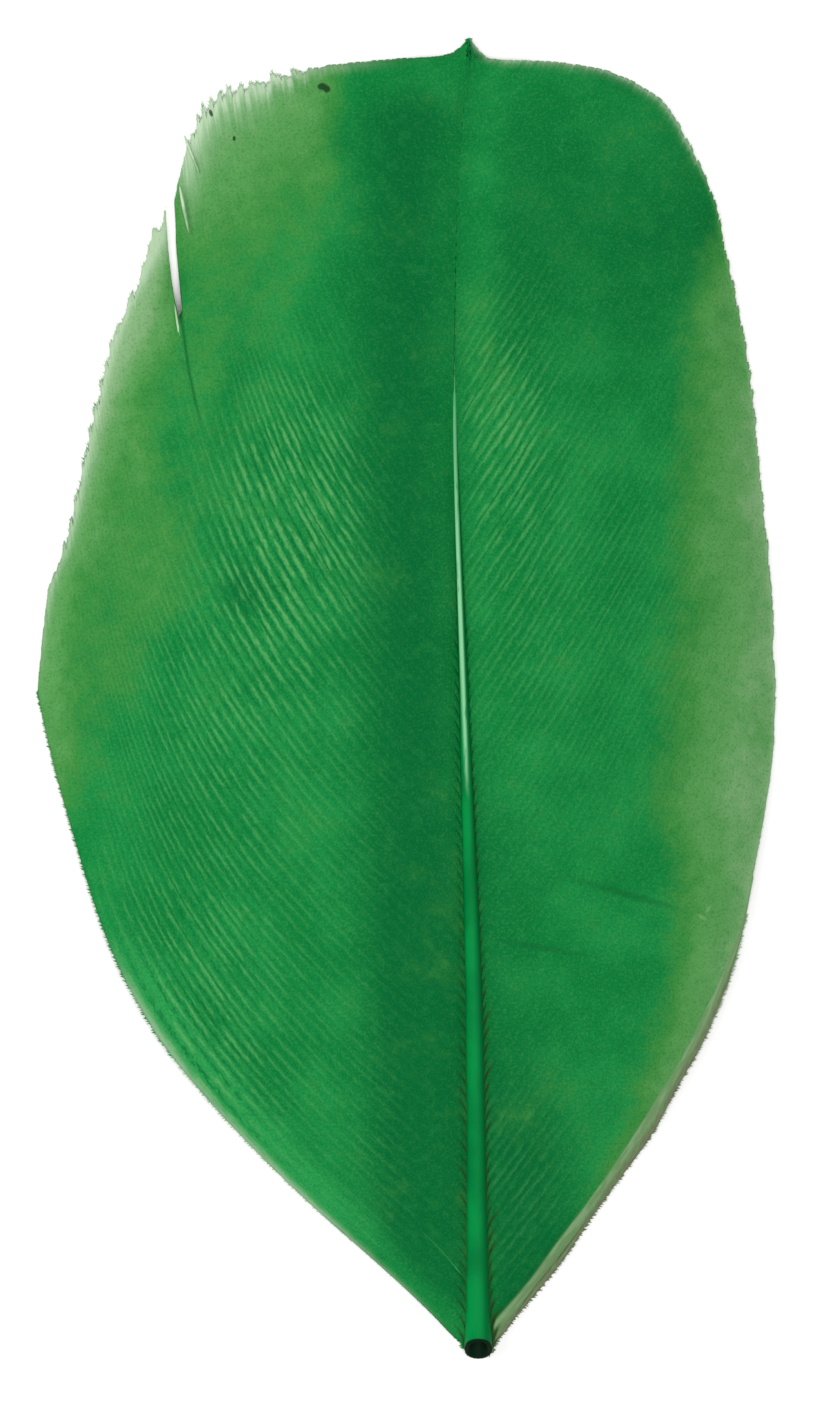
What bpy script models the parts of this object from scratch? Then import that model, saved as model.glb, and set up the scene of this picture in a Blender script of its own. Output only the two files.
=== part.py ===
"""A dyed turkey wing feather, lying with its upper side up on a flat surface.

The shaft runs along +Y from the cut quill to the tip, +X is to the right as one looks down on
the feather, and the surface it lies on is z = 0. The feather grew as one piece, so it is one
solid: two ribbed vanes and the shaft that carries them.
"""

import math

import bpy
import numpy as np

MM = 0.001

# Driving dimensions, all in millimetres.
QUILL_END_Y = -35.0
TIP_Y = 35.0
FIRST_BARB_Y = -34.3
RIBS = 48
VANE_THICK = 0.50
EDGE_THICK = 0.34
RIB_HEIGHT = 0.10
RIB_REACH = 0.22
DOME_POWER = 2.2
CREST_AT = 0.25
CREST_FADE = 6
CREST = {"left": 0.75, "right": 0.60}
CUT_SLANT = 1.15
BORE_WIDTH = 0.72
BORE_DEPTH = 2.2
BORE_SIDES = 12
FLAT_END_Y = -31.6

# Towards the quill the rims stand off the table, most of all at this place along the feather.
RIM_LIFT = 0.55
RIM_LIFT_Y = -17.0
RIM_LIFT_REACH = 9.0

# The shaft, read at places along it: how far it wanders sideways, its width and its full height.
SHAFT_X = ((-35.0, 3.78), (-16.0, 3.52), (0.0, 2.99), (18.0, 2.50), (28.0, 2.74), (35.0, 3.28))
SHAFT_WIDTH = ((-35.0, 1.48), (-27.5, 1.14), (-16.0, 0.86), (-4.0, 0.60), (7.5, 0.42), (35.0, 0.22))
SHAFT_TALL = ((-35.0, 1.30), (-27.5, 1.25), (-10.0, 1.05), (10.0, 0.80), (35.0, 0.40))
SHAFT_PROUD = ((-35.0, 0.24), (0.0, 0.20), (35.0, 0.05))

# Height of the vanes' upper side where they meet the shaft: the feather lies like a shallow arch.
SPINE_Z = (
    (-35.0, 1.06), (-33.0, 1.06), (-30.0, 1.14), (-24.0, 1.70), (-12.0, 2.95), (2.0, 3.75),
    (14.0, 3.45), (25.0, 2.25), (31.0, 1.15), (35.0, 0.45),
)

# Barbs that set the form of each vane. Each row is the place along the shaft where the barb
# leaves it, the barb's tip x and y, its angle from +Y at the shaft and at the tip, and how
# strongly each end pulls on the curve, as a share of the distance from root to tip.
BARBS = {
    "left": (
        (-34.30, -19.55, 0.50, 47.0, 10.0, 0.50, 0.45),
        (-32.80, -19.20, 4.20, 47.5, 10.0, 0.50, 0.42),
        (-28.60, -18.05, 8.30, 47.0, 9.0, 0.50, 0.38),
        (-20.10, -16.70, 14.40, 46.0, 10.0, 0.50, 0.35),
        (-11.70, -14.95, 20.60, 45.0, 11.0, 0.50, 0.33),
        (-7.40, -13.20, 25.15, 44.0, 9.0, 0.50, 0.30),
        (-6.60, -12.50, 26.30, 44.0, 8.0, 0.50, 0.30),
        (-3.20, -11.60, 29.40, 43.0, 8.0, 0.48, 0.30),
        (2.60, -10.15, 31.80, 42.0, 8.0, 0.45, 0.30),
        (8.00, -8.00, 32.60, 41.0, 9.0, 0.43, 0.30),
        (15.85, -4.90, 33.45, 38.0, 12.0, 0.40, 0.30),
        (26.40, -0.30, 33.95, 30.0, 20.0, 0.35, 0.30),
        (31.50, 1.90, 34.15, 28.0, 22.0, 0.33, 0.30),
        (34.20, 2.80, 34.55, 26.0, 20.0, 0.33, 0.30),
        (35.00, 3.28, 35.00, 20.0, 15.0, 0.33, 0.30),
    ),
    "right": (
        (-34.30, 17.95, -11.35, 41.0, 10.0, 0.35, 0.28),
        (-28.60, 19.38, -2.80, 37.0, 18.0, 0.35, 0.32),
        (-24.35, 19.42, 3.10, 35.0, 22.0, 0.35, 0.33),
        (-15.90, 18.72, 11.60, 34.0, 25.0, 0.33, 0.33),
        (-7.45, 18.10, 17.80, 33.0, 27.0, 0.33, 0.33),
        (1.05, 16.95, 23.60, 33.0, 28.0, 0.33, 0.33),
        (5.25, 16.25, 26.70, 33.0, 29.0, 0.33, 0.33),
        (9.50, 15.10, 29.15, 33.0, 30.0, 0.33, 0.33),
        (13.75, 13.75, 31.50, 32.0, 30.0, 0.33, 0.33),
        (18.00, 11.80, 32.85, 32.0, 30.0, 0.33, 0.33),
        (26.40, 7.40, 33.80, 31.0, 30.0, 0.33, 0.33),
        (31.50, 5.00, 33.90, 28.0, 26.0, 0.33, 0.33),
        (34.20, 3.85, 34.35, 24.0, 20.0, 0.33, 0.33),
        (35.00, 3.28, 35.00, 20.0, 15.0, 0.33, 0.33),
    ),
}

# The slit in the left vane: it opens above the barb that leaves the shaft here.
SLIT_ROOT_Y = -7.0
SLIT_FROM = 0.84

# Where the mesh has its rows along a barb, as shares of the way to its tip.
ALONG_BARB = (0.0, 0.07, 0.20, 0.36, 0.53, 0.70, SLIT_FROM, 0.93, 1.0)
SIDE_SIGN = {"left": -1.0, "right": 1.0}

# A barb starts a little inside the shaft's side, as a share of the shaft's width from its middle.
BARB_START = 0.45
LEAST_REACH = 0.05

# The shaft's skin: how many sections, how many points in each, and how boxy a section is.
SHAFT_RINGS = 36
SECTION_POINTS = 14
BOXINESS = 0.65
SHAFT_TIP_INSET = 0.25
SHARP_EDGE_DEGREES = 40.0


def smooth(table, at, column=1):
    """Reads a column of a table at a place, along a smooth curve through its rows."""
    rows = np.array(table)
    places, values = rows[:, 0], rows[:, column]
    slopes = np.gradient(values, places)
    at = np.clip(at, places[0], places[-1])
    row = np.clip(np.searchsorted(places, at) - 1, 0, len(places) - 2)
    span = places[row + 1] - places[row]
    t = (at - places[row]) / span
    ease = t * t * (3.0 - 2.0 * t)
    lean = span * (slopes[row] * t * (1.0 - t) ** 2 - slopes[row + 1] * t * t * (1.0 - t))
    return values[row] * (1.0 - ease) + values[row + 1] * ease + lean


def barb(side, root_y, along):
    """Points in plan along the barb that leaves the shaft at root_y, as x and y arrays."""
    rows = np.array(BARBS[side])
    sign = SIDE_SIGN[side]
    tip_x, tip_y, start, end, pull_0, pull_1 = (
        np.interp(root_y, rows[:, 0], rows[:, column]) for column in range(1, 7)
    )
    root_x = smooth(SHAFT_X, root_y) + sign * BARB_START * smooth(SHAFT_WIDTH, root_y)
    reach = math.hypot(tip_x - root_x, tip_y - root_y)
    start, end = math.radians(start), math.radians(end)
    xs = (
        root_x,
        root_x + sign * pull_0 * reach * math.sin(start),
        tip_x - sign * pull_1 * reach * math.sin(end),
        tip_x,
    )
    ys = (
        root_y,
        root_y + pull_0 * reach * math.cos(start),
        tip_y - pull_1 * reach * math.cos(end),
        tip_y,
    )
    t = np.asarray(along)
    weights = ((1 - t) ** 3, 3 * t * (1 - t) ** 2, 3 * t * t * (1 - t), t**3)
    return sum(w * x for w, x in zip(weights, xs)), sum(w * y for w, y in zip(weights, ys))


def outline_of(side):
    """The vane's reach from the shaft at each height y: the lowest barb, then the tips of the others."""
    low_x, low_y = barb(side, FIRST_BARB_Y, np.linspace(0.0, 1.0, 60))
    tips = [barb(side, root, (1.0,)) for root in np.linspace(FIRST_BARB_Y, TIP_Y, 200)[1:]]
    x = np.concatenate([low_x, [tip[0][0] for tip in tips]])
    y = np.concatenate([low_y, [tip[1][0] for tip in tips]])
    return y, np.abs(x - smooth(SHAFT_X, y))


OUTLINE = {side: outline_of(side) for side in BARBS}


def vane_z(side, x, y):
    """Height of the vane's upper side: low at its rim, arched along the shaft, with a soft crest
    a quarter of the way out, so that the shaft lies in a shallow valley."""
    reach = np.interp(y, *OUTLINE[side])
    widest = OUTLINE[side][1].max()
    share = np.clip(np.abs(x - smooth(SHAFT_X, y)) / np.maximum(reach, LEAST_REACH), 0.0, 1.0)
    rim = EDGE_THICK + RIM_LIFT * np.exp(-(((y - RIM_LIFT_Y) / RIM_LIFT_REACH) ** 2))
    dome = rim + (smooth(SPINE_Z, y) - rim) * (1.0 - share**DOME_POWER)
    swell = share / CREST_AT * np.exp(1.0 - share / CREST_AT) * (1.0 - share**CREST_FADE)
    return dome + CREST[side] * reach / widest * swell


def vane_sheet():
    """Upper side of both vanes as one sheet: its points, its faces and its thickness at each point."""
    stations = np.linspace(FIRST_BARB_Y, TIP_Y, 2 * RIBS + 1)
    points = [(smooth(SHAFT_X, root_y), root_y, smooth(SPINE_Z, root_y)) for root_y in stations]
    thick = [VANE_THICK] * len(stations)
    row = {}
    for side in BARBS:
        for station, root_y in enumerate(stations[:-1]):
            is_rib = station % 2 == 1
            reach = np.array(ALONG_BARB)
            x, y = barb(side, root_y, reach)
            if is_rib:
                way = np.array((x[-1] - x[-2], y[-1] - y[-2]))
                way *= RIB_REACH / np.linalg.norm(way)
                x[-1], y[-1] = x[-1] + way[0], y[-1] + way[1]
            z = vane_z(side, x, y)
            z[1:] += RIB_HEIGHT * is_rib
            row[side, station] = [station] + list(range(len(points), len(points) + len(reach)))
            points.extend(zip(x, y, z))
            thick.extend(VANE_THICK + (EDGE_THICK - VANE_THICK) * reach)
        row[side, len(stations) - 1] = [len(stations) - 1] * (len(ALONG_BARB) + 1)
    slit = int(np.searchsorted(stations, SLIT_ROOT_Y))
    slit_column = ALONG_BARB.index(SLIT_FROM) + 1
    faces = []
    for side in BARBS:
        for station in range(len(stations) - 1):
            low, high = row[side, station], row[side, station + 1]
            for column in range(len(ALONG_BARB)):
                if side == "left" and station == slit and column >= slit_column:
                    continue
                corners = [low[column], low[column + 1], high[column + 1], high[column]]
                corners = [c for i, c in enumerate(corners) if c != corners[i - 1]]
                if len(corners) > 2:
                    faces.append(corners if side == "right" else corners[::-1])
    return points, faces, thick


def thicken(points, faces, thick):
    """A closed shell from a sheet: a copy lies below it, and walls join the two round the rim."""
    count = len(points)
    below = [(x, y, max(z - t, 0.0)) for (x, y, z), t in zip(points, thick)]
    shell = list(faces) + [[c + count for c in reversed(face)] for face in faces]
    edges = {(a, b) for face in faces for a, b in zip(face, face[1:] + face[:1])}
    for a, b in sorted(edges):
        if (b, a) not in edges:
            shell.append([b, a, a + count, b + count])
    return list(points) + below, shell


def shaft_heights(y):
    """Heights of the shaft's top and underside: the quill lies flat on the table, the rest is clear of it."""
    top = smooth(SPINE_Z, y) + smooth(SHAFT_PROUD, y)
    if y <= FLAT_END_Y:
        return top, 0.0
    return top, max(top - smooth(SHAFT_TALL, y), 0.0)


def shaft_section(y):
    """The shaft's cross-section at y, a rounded box with a flat sole and a flat crown."""
    width = smooth(SHAFT_WIDTH, y)
    top, under = shaft_heights(y)
    ring = []
    for step in range(SECTION_POINTS):
        turn = 2.0 * math.pi * (step + 0.5) / SECTION_POINTS
        across, up = math.sin(turn), -math.cos(turn)
        across = math.copysign(abs(across) ** BOXINESS, across)
        up = math.copysign(min(1.0, (abs(up) / math.cos(math.pi / SECTION_POINTS)) ** BOXINESS), up)
        ring.append((smooth(SHAFT_X, y) + 0.5 * width * across, y, under + 0.5 * (top - under) * (1.0 + up)))
    return ring


def shaft_mesh():
    """The shaft as a skin over its sections, cut off at a slant at the quill."""
    places = np.concatenate([
        [QUILL_END_Y, 0.5 * (QUILL_END_Y + FLAT_END_Y)],
        np.linspace(FLAT_END_Y, TIP_Y - SHAFT_TIP_INSET, SHAFT_RINGS - 2),
    ])
    points, faces = [], []
    for ring, y in enumerate(places):
        section = shaft_section(y)
        if ring == 0:
            top = shaft_heights(y)[0]
            section = [(x, y + CUT_SLANT * z / top, z) for x, y, z in section]
        points.extend(section)
    for ring in range(len(places) - 1):
        first = ring * SECTION_POINTS
        for step in range(SECTION_POINTS):
            after = (step + 1) % SECTION_POINTS
            faces.append([first + step, first + after,
                          first + SECTION_POINTS + after, first + SECTION_POINTS + step])
    faces.append(list(range(SECTION_POINTS))[::-1])
    faces.append([len(points) - SECTION_POINTS + step for step in range(SECTION_POINTS)])
    return points, faces


def add_object(name, points, faces, material):
    mesh = bpy.data.meshes.new(name)
    mesh.from_pydata([[float(value) * MM for value in point] for point in points], [], faces)
    mesh.materials.append(material)
    mesh.shade_smooth()
    mesh.set_sharp_from_angle(angle=math.radians(SHARP_EDGE_DEGREES))
    made = bpy.data.objects.new(name, mesh)
    bpy.context.scene.collection.objects.link(made)
    return made


def make_material(name, colour, roughness):
    material = bpy.data.materials.new(name)
    material.use_nodes = True
    surface = material.node_tree.nodes["Principled BSDF"]
    surface.inputs["Base Color"].default_value = (*colour, 1.0)
    surface.inputs["Roughness"].default_value = roughness
    surface.inputs["Metallic"].default_value = 0.0
    return material


def combine(target, tool, operation):
    """Joins a helper solid to the target, or cuts it away, and keeps the helper out of the model."""
    modifier = target.modifiers.new(tool.name, "BOOLEAN")
    modifier.operation = operation
    modifier.object = tool
    modifier.solver = "EXACT"
    modifier.material_mode = "TRANSFER"
    tool.hide_render = True
    tool.display_type = "WIRE"


def bore_cutter(material):
    """The hollow of the quill, seen at its cut end."""
    bpy.ops.mesh.primitive_cylinder_add(
        vertices=BORE_SIDES,
        radius=0.5 * BORE_WIDTH * MM,
        depth=2.0 * BORE_DEPTH * MM,
        location=(smooth(SHAFT_X, QUILL_END_Y) * MM, QUILL_END_Y * MM,
                  0.5 * shaft_heights(QUILL_END_Y)[0] * MM),
        rotation=(math.radians(90.0), 0.0, 0.0),
    )
    cutter = bpy.context.object
    cutter.name = "quill_bore_cutter"
    cutter.data.materials.append(material)
    return cutter


def build():
    for old in list(bpy.data.objects):
        bpy.data.objects.remove(old)
    vane_material = make_material("dyed vane", (0.010, 0.224, 0.064), 0.62)
    shaft_material = make_material("dyed shaft", (0.004, 0.242, 0.053), 0.35)
    feather = add_object("feather", *thicken(*vane_sheet()), vane_material)
    shaft = add_object("shaft_to_join", *shaft_mesh(), shaft_material)
    combine(feather, shaft, "UNION")
    combine(feather, bore_cutter(shaft_material), "DIFFERENCE")


build()
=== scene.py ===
# %% [markdown]
# # A dyed turkey wing feather
#
# The real thing is one trimmed wing feather, soaked in green dye and dried flat. A stiff shaft
# carries about a hundred barbs on each side, and every barb is zipped to the next one by its
# barbules, so that they make two smooth vanes. This lesson lays real barbs along real curves,
# one ridge for each, and lets the light find them, helped by painted highlights on the crests and
# painted shade in the gaps. It starts by opening the imported model, which fixes where everything
# is, and by printing the size of its box.

import math

import bpy
import numpy as np
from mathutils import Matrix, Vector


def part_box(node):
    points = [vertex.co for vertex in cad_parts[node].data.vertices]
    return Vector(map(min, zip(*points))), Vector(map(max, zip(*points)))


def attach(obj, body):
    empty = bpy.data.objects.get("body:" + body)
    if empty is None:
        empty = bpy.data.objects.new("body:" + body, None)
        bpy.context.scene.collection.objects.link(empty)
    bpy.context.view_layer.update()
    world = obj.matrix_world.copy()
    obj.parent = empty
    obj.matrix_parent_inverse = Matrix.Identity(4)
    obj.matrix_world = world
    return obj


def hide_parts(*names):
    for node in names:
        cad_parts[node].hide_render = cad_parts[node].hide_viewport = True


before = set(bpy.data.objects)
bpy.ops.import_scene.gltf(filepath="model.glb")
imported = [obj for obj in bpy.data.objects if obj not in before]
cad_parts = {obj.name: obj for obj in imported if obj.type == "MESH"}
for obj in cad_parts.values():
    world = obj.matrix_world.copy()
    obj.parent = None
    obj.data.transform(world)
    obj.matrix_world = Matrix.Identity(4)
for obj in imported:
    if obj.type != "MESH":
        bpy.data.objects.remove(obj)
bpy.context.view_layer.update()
lowest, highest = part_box("feather")
MM = 0.001
print("the packed feather, mm:", [round((b - a) / MM, 2) for a, b in zip(lowest, highest)])

# %% [markdown]
# ## Small helpers
#
# Colours are given as sRGB hex values, while a shader wants linear light, so one function
# turns them. Two more select just what the next operator works on. Three build: they turn a closed
# form's faces outward, join many small forms in one mesh, and keep named values on its points. The
# last ends each piece: it leaves the object at the origin, unturned and unscaled, because patterns
# read the mesh's own coordinates.

# %% Helpers for colour and objects
def linear(hex_colour):
    """An sRGB hex value as linear red, green, blue and alpha."""
    parts = [int(hex_colour[i:i + 2], 16) / 255.0 for i in (1, 3, 5)]
    return [p / 12.92 if p <= 0.04045 else ((p + 0.055) / 1.055) ** 2.4 for p in parts] + [1.0]


def deselect():
    if bpy.context.object and bpy.context.object.mode != "OBJECT":
        bpy.ops.object.mode_set(mode="OBJECT")
    bpy.ops.object.select_all(action="DESELECT")


def only(piece):
    deselect()
    piece.select_set(True)
    bpy.context.view_layer.objects.active = piece


def face_outward(piece):
    """Turns every face of a closed piece to the outside."""
    only(piece)
    bpy.ops.object.mode_set(mode="EDIT")
    bpy.ops.mesh.select_all(action="SELECT")
    bpy.ops.mesh.normals_make_consistent(inside=False)
    bpy.ops.object.mode_set(mode="OBJECT")


def joined(name, points, faces):
    """One object from many small forms: their points in millimetres and their faces."""
    mesh = bpy.data.meshes.new(name)
    mesh.from_pydata((np.asarray(points) * MM).tolist(), [], faces)
    made = bpy.data.objects.new(name, mesh)
    bpy.context.scene.collection.objects.link(made)
    return made


def keep(mesh, name, values):
    """Keeps one value for each point of a mesh under a name, for the material to read."""
    layer = mesh.attributes.new(name, "FLOAT", "POINT")
    layer.data.foreach_set("value", np.asarray(values, np.float32))


def finish_piece(piece, name):
    """Puts the piece's place into its mesh and names it."""
    only(piece)
    bpy.ops.object.transform_apply(location=True, rotation=True, scale=True)
    piece.name = name
    piece.data.name = name
    count = sum(len(face.vertices) - 2 for face in piece.data.polygons)
    print(name, "has", count, "triangles")
    return piece


print("helpers for colour and objects are ready")

# %% [markdown]
# ## Camera, floor and light
#
# The feather is seen from straight above. A long lens far away keeps its arched middle from
# swelling towards the camera. The photograph's frame is 835 by 1403 pixels, and at this feather's
# size each pixel is 0.0529 mm, which sets how far away the camera hangs. The floor is a clean
# white sheet on which thin edges of the vane look paler. The light is soft and comes mostly from
# above, with a broad lamp on the left that grazes the barbs and lets each one show.

# %% Camera
MM_PER_PIXEL = 70.0 / 1323.0
FRAME_PIXELS = (835, 1403)
OUTLINE_MIDDLE_PIXEL = (407.0, 699.5)
LENS = 150.0
SENSOR = 36.0
FOCUS_Z = 1.0

view_x = (0.5 * FRAME_PIXELS[0] - OUTLINE_MIDDLE_PIXEL[0]) * MM_PER_PIXEL
view_y = (OUTLINE_MIDDLE_PIXEL[1] - 0.5 * FRAME_PIXELS[1]) * MM_PER_PIXEL
distance = LENS / SENSOR * FRAME_PIXELS[1] * MM_PER_PIXEL
camera_data = bpy.data.cameras.new("camera")
camera_data.lens = LENS
camera_data.sensor_width = SENSOR
camera_data.clip_start = 0.01
camera_data.clip_end = 10.0
camera = bpy.data.objects.new("camera", camera_data)
camera.location = (view_x * MM, view_y * MM, (FOCUS_Z + distance) * MM)
bpy.context.scene.collection.objects.link(camera)
bpy.context.scene.camera = camera
print("camera height, mm:", round(distance, 1))

# %% Floor and lights
FLOOR_SIDE = 1.2
FLOOR_DROP = 0.02
ROOM_LIGHT = 0.38


def lamp(name, place, side, watts, colour):
    """A square soft lamp at a place in metres, turned towards the feather."""
    data = bpy.data.lights.new(name, "AREA")
    data.shape = "SQUARE"
    data.size = side
    data.energy = watts
    data.color = linear(colour)[:3]
    made = bpy.data.objects.new(name, data)
    made.location = place
    flat = math.hypot(place[0], place[1])
    made.rotation_euler = (math.atan2(flat, place[2]), 0.0, math.atan2(place[0], -place[1]))
    bpy.context.scene.collection.objects.link(made)


deselect()
bpy.ops.mesh.primitive_plane_add(size=FLOOR_SIDE, location=(0.0, 0.0, -FLOOR_DROP * MM))
floor = bpy.context.object
finish_piece(floor, "floor")
paper = bpy.data.materials.new("white card")
paper.use_nodes = True
card = paper.node_tree.nodes["Principled BSDF"]
card.inputs["Base Color"].default_value = linear("#fcfcfb")
card.inputs["Roughness"].default_value = 0.9
card.inputs["Specular IOR Level"].default_value = 0.1
floor.data.materials.append(paper)

lamp("left window", (-0.42, 0.16, 0.26), 0.34, 1.2, "#fffdf8")
lamp("overhead", (0.05, -0.05, 0.70), 0.60, 4.0, "#ffffff")
world = bpy.data.worlds.new("soft room")
world.use_nodes = True
world.node_tree.nodes["Background"].inputs["Color"].default_value = linear("#ffffff")
world.node_tree.nodes["Background"].inputs["Strength"].default_value = ROOM_LIGHT
bpy.context.scene.world = world
bpy.context.scene.view_settings.view_transform = "Standard"

# %% [markdown]
# ## The plan of the feather
#
# A feather is laid out by its barbs. Each barb leaves the shaft at a slant, bends forward and ends
# on the outline, so a few barbs, read as curves from root to tip, set both the outline and the
# grain of a vane. The rows below are those barbs in millimetres: where each leaves the shaft,
# where its tip is, its angle from the shaft's direction at both ends, and how hard each end pulls
# on the curve. The left vane is the wider one, and its barbs sweep round more.

# %% The shaft's line and the barbs that set the form
QUILL_END_Y, TIP_Y = -35.0, 35.0
FIRST_BARB_Y = -34.3
BARB_COUNT = 97
SIGN = {"left": -1.0, "right": 1.0}
SHAFT_X = ((-35.0, 3.78), (-16.0, 3.52), (0.0, 2.99), (18.0, 2.50), (28.0, 2.74), (35.0, 3.28))
SHAFT_WIDTH = (
    (-35.0, 1.48), (-27.5, 1.20), (-16.0, 0.98), (-4.0, 0.66), (7.5, 0.38), (19.0, 0.23), (35.0, 0.10),
)
SPINE_Z = (
    (-35.0, 1.06), (-33.0, 1.06), (-30.0, 1.14), (-24.0, 1.70), (-12.0, 2.95), (2.0, 3.75),
    (14.0, 3.45), (25.0, 2.25), (31.0, 1.15), (35.0, 0.45),
)
BARBS = {
    "left": (
        (-34.30, -19.55, 0.50, 47.0, 10.0, 0.50, 0.45),
        (-32.80, -19.20, 4.20, 47.8, 10.0, 0.50, 0.42),
        (-28.60, -18.05, 8.30, 49.5, 9.0, 0.50, 0.38),
        (-20.10, -16.70, 14.40, 50.5, 9.0, 0.50, 0.36),
        (-11.70, -14.95, 20.60, 48.0, 9.0, 0.50, 0.34),
        (-7.40, -12.85, 25.20, 46.0, 4.0, 0.50, 0.30),
        (-6.60, -12.60, 26.10, 45.5, 4.0, 0.50, 0.30),
        (-3.20, -11.60, 29.40, 43.0, 8.0, 0.48, 0.30),
        (2.60, -10.15, 31.80, 42.0, 8.0, 0.45, 0.30),
        (8.00, -8.00, 32.60, 41.0, 9.0, 0.43, 0.30),
        (15.85, -4.90, 33.45, 38.0, 12.0, 0.40, 0.30),
        (26.40, -0.30, 33.95, 30.0, 20.0, 0.35, 0.30),
        (31.50, 1.90, 34.15, 28.0, 22.0, 0.33, 0.30),
        (34.20, 2.80, 34.55, 26.0, 20.0, 0.33, 0.30),
        (35.00, 3.28, 35.00, 20.0, 15.0, 0.33, 0.30),
    ),
    "right": (
        (-34.30, 17.95, -11.35, 41.0, 10.0, 0.35, 0.28),
        (-28.60, 19.38, -2.80, 37.0, 18.0, 0.35, 0.32),
        (-24.35, 19.42, 3.10, 35.0, 22.0, 0.35, 0.33),
        (-15.90, 18.72, 11.60, 34.0, 25.0, 0.33, 0.33),
        (-7.45, 18.10, 17.80, 33.0, 27.0, 0.33, 0.33),
        (1.05, 16.95, 23.60, 33.0, 28.0, 0.33, 0.33),
        (5.25, 16.25, 26.70, 33.0, 29.0, 0.33, 0.33),
        (9.50, 15.10, 29.15, 33.0, 30.0, 0.33, 0.33),
        (13.75, 13.75, 31.50, 32.0, 30.0, 0.33, 0.33),
        (18.00, 11.80, 32.85, 32.0, 30.0, 0.33, 0.33),
        (26.40, 7.40, 33.80, 31.0, 30.0, 0.33, 0.33),
        (31.50, 5.00, 33.90, 28.0, 26.0, 0.33, 0.33),
        (34.20, 3.85, 34.35, 24.0, 20.0, 0.33, 0.33),
        (35.00, 3.28, 35.00, 20.0, 15.0, 0.33, 0.33),
    ),
}


def smooth(table, at, column=1):
    """Reads a column of a table at a place, along a smooth curve through its rows."""
    rows = np.array(table)
    places, values = rows[:, 0], rows[:, column]
    slopes = np.gradient(values, places)
    at = np.clip(at, places[0], places[-1])
    row = np.clip(np.searchsorted(places, at) - 1, 0, len(places) - 2)
    span = places[row + 1] - places[row]
    t = (at - places[row]) / span
    ease = t * t * (3.0 - 2.0 * t)
    lean = span * (slopes[row] * t * (1.0 - t) ** 2 - slopes[row + 1] * t * t * (1.0 - t))
    return values[row] * (1.0 - ease) + values[row + 1] * ease + lean


def step_up(low, high, value):
    """0 below low, 1 above high, and an even ease between them."""
    t = np.clip((np.asarray(value) - low) / (high - low), 0.0, 1.0)
    return t * t * (3.0 - 2.0 * t)


def step_down(low, high, value):
    """1 below low, 0 above high, and an even ease between them."""
    return 1.0 - step_up(low, high, value)


def mound(middle, reach, value):
    """A soft bump that is 1 at its middle."""
    return np.exp(-(((np.asarray(value) - middle) / reach) ** 2))


def soft_oval(x, y, x_middle, y_middle, x_reach, y_reach):
    """A soft bump over the plan, with its own half length and half width."""
    return mound(0.0, 1.0, np.hypot((x - x_middle) / x_reach, (y - y_middle) / y_reach))


def root_of(number):
    """Place along the shaft where a barb leaves it, by the barb's number from the quill."""
    return FIRST_BARB_Y + (TIP_Y - FIRST_BARB_Y) * np.asarray(number) / BARB_COUNT


print("barbs on each side:", BARB_COUNT, "about", round((TIP_Y - FIRST_BARB_Y) / BARB_COUNT, 2), "mm apart")

# %% [markdown]
# ## From barbs to a surface
#
# Two functions do the geometry. One gives points along barbs, in plan. The other gives the height
# of the vane's upper side: the dried feather lies like a shallow arch with its rims on the table,
# and each vane swells to a soft crest beside the shaft before it falls to its rim. These heights
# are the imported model's own, and the fine web is laid on top of them.

# %% Points along barbs and the height of the vane
BARB_START = 0.40
DOME_POWER = 2.2
CREST_AT = 0.25
CREST_FADE = 6
CREST = {"left": 0.75, "right": 0.60}
EDGE_THICK = 0.34
RIM_LIFT, RIM_LIFT_Y, RIM_LIFT_REACH = 0.55, -17.0, 9.0
LEAST_REACH = 0.05


def barb_points(side, roots, along):
    """x and y of points along many barbs: a row for each root, a column for each share of the way."""
    roots = np.asarray(roots, float)[:, None]
    t = np.broadcast_to(along, (len(roots), np.shape(along)[-1]))
    sign = SIGN[side]
    tip_x, tip_y = smooth(BARBS[side], roots, 1), smooth(BARBS[side], roots, 2)
    rows = np.array(BARBS[side])
    start, end, pull_0, pull_1 = (np.interp(roots, rows[:, 0], rows[:, c]) for c in (3, 4, 5, 6))
    root_x = smooth(SHAFT_X, roots) + sign * BARB_START * smooth(SHAFT_WIDTH, roots)
    reach = np.hypot(tip_x - root_x, tip_y - roots)
    start, end = np.radians(start), np.radians(end)
    first = (root_x + sign * pull_0 * reach * np.sin(start), roots + pull_0 * reach * np.cos(start))
    second = (tip_x - sign * pull_1 * reach * np.sin(end), tip_y - pull_1 * reach * np.cos(end))
    w = ((1 - t) ** 3, 3 * t * (1 - t) ** 2, 3 * t * t * (1 - t), t**3)
    x = w[0] * root_x + w[1] * first[0] + w[2] * second[0] + w[3] * tip_x
    y = w[0] * roots + w[1] * first[1] + w[2] * second[1] + w[3] * tip_y
    return x, y


def outline_of(side):
    """The vane's reach from the shaft at each height: the lowest barb, then the tips of the rest."""
    low_x, low_y = barb_points(side, [FIRST_BARB_Y], np.linspace(0.0, 1.0, 60))
    tip_x, tip_y = barb_points(side, np.linspace(FIRST_BARB_Y, TIP_Y, 300)[1:], [1.0])
    x = np.concatenate([low_x[0], tip_x[:, 0]])
    y = np.maximum.accumulate(np.concatenate([low_y[0], tip_y[:, 0]]))
    return y, np.abs(x - smooth(SHAFT_X, y))


OUTLINE = {side: outline_of(side) for side in BARBS}


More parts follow.
